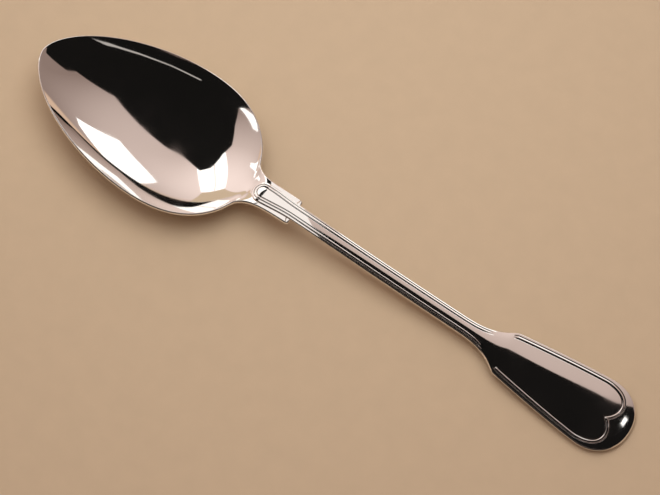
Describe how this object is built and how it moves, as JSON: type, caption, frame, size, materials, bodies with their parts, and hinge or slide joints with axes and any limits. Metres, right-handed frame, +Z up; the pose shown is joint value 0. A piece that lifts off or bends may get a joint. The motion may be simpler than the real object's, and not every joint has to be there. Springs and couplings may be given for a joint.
{
  "type": "tablespoon",
  "caption": "Polished silver-plated tablespoon with a pointed oval bowl, a slim stem and a fiddle-shaped handle end bordered by a struck double thread.",
  "frame": {"origin": "on the table, below the middle of the spoon's box", "axes": "+X from the bowl's tip towards the end of the handle, +Y across the spoon, +Z up from the table"},
  "size_m": [0.206, 0.046, 0.0129],
  "materials": {
    "polished_silver": "mirror-polished silver plate with fine wiping marks",
    "thread_silver": "polished silver plate, slightly darker in the grooves beside the threads"
  },
  "bodies": {
    "root": {"bowl": "polished_silver", "handle": "polished_silver", "stem_thread": "thread_silver", "fiddle_thread_left": "thread_silver", "fiddle_thread_right": "thread_silver"}
  },
  "joints": []
}
